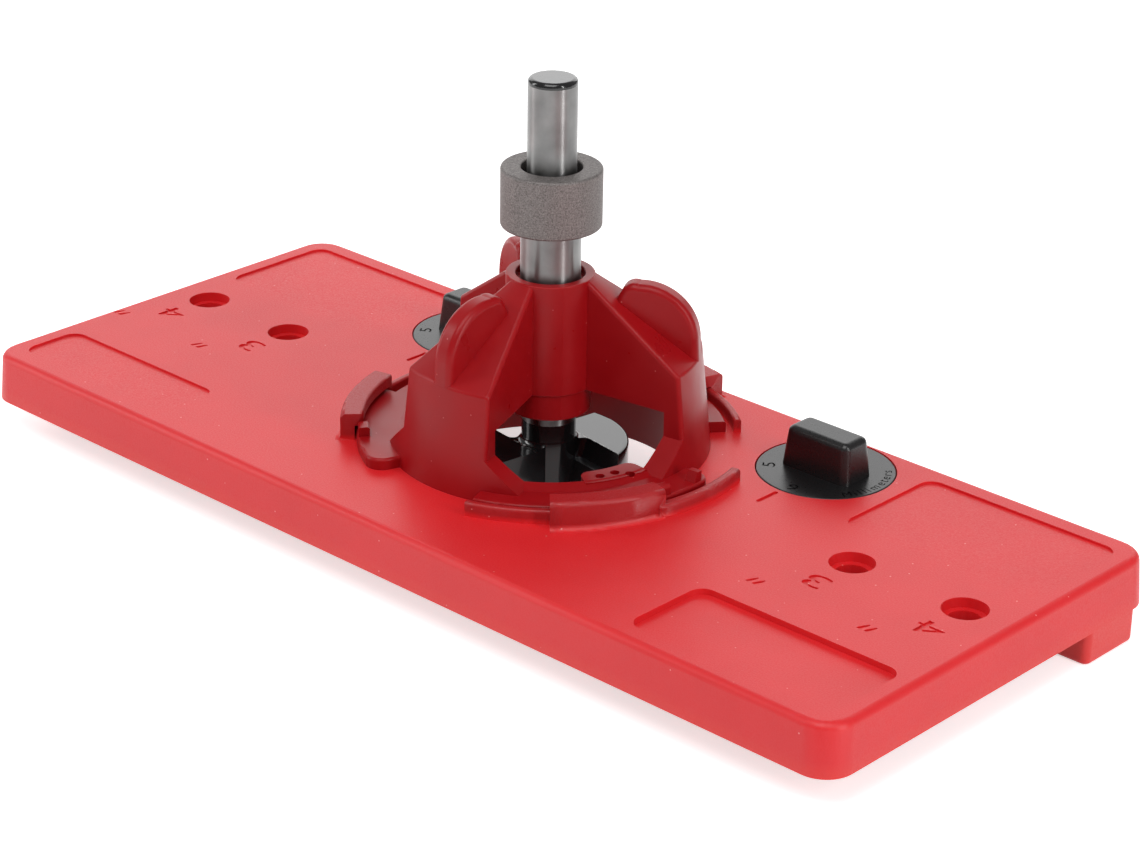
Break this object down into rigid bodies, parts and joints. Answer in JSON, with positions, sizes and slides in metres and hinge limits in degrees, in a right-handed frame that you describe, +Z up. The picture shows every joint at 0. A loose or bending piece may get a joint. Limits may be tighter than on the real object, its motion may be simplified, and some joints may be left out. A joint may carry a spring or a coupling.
{
  "type": "hinge drilling jig",
  "caption": "Plate jig for boring concealed-hinge cups: a twist-lock guide holds a boring bit with a stop collar, and two dials set the edge distance.",
  "frame": {"origin": "under the centre of the plate, at the bottom of the feet", "axes": "+X along the plate, +Y from the front edge to the edge with the dials, +Z up along the bit"},
  "size_m": [0.2256, 0.0948, 0.0911],
  "materials": {
    "plate_plastic": "satin moulded red",
    "guide_plastic": "semi-gloss moulded red",
    "black_plastic": "satin moulded black",
    "bit_steel": "ground steel, head and tip painted gloss black",
    "carbide": "ground",
    "sintered_steel": "warm grey sintered, fine grain",
    "screw_steel": "zinc plated",
    "black_steel": "black oxide"
  },
  "bodies": {
    "base": {"base_plate": "plate_plastic"},
    "guide": {"drill_guide": "guide_plastic"},
    "stop": {"stop_collar": "sintered_steel", "collar_set_screw": "black_steel"},
    "bit": {"bit_body": "bit_steel", "cutter_wing_1": "carbide", "cutter_wing_2": "carbide", "spur_1": "carbide", "spur_2": "carbide", "centre_point": "carbide"},
    "dial_set_left": {"dial_left": "black_plastic", "cam_left": "black_plastic", "cam_washer_left": "screw_steel", "cam_screw_left": "screw_steel"},
    "dial_set_right": {"dial_right": "black_plastic", "cam_right": "black_plastic", "cam_washer_right": "screw_steel", "cam_screw_right": "screw_steel"}
  },
  "joints": [
    {"name": "guide_twist", "type": "hinge", "parent": "base", "child": "guide", "pos_m": [0, 0.00375, 0.0168], "axis": [0, 0, 1], "range_deg": [0, 36]},
    {"name": "plunge", "type": "slide", "parent": "guide", "child": "stop", "axis": [0, 0, 1], "range_m": [-0.0097, 0.007]},
    {"name": "bit_spin", "type": "hinge", "parent": "stop", "child": "bit", "pos_m": [0, 0.00375, 0.06], "axis": [0, 0, 1], "continuous": true},
    {"name": "left_dial_turn", "type": "hinge", "parent": "base", "child": "dial_set_left", "pos_m": [-0.0475, 0.0316, 0.0168], "axis": [0, 0, 1], "range_deg": [0, 180]},
    {"name": "right_dial_turn", "type": "hinge", "parent": "base", "child": "dial_set_right", "pos_m": [0.0475, 0.0316, 0.0168], "axis": [0, 0, 1], "range_deg": [0, 180]}
  ]
}
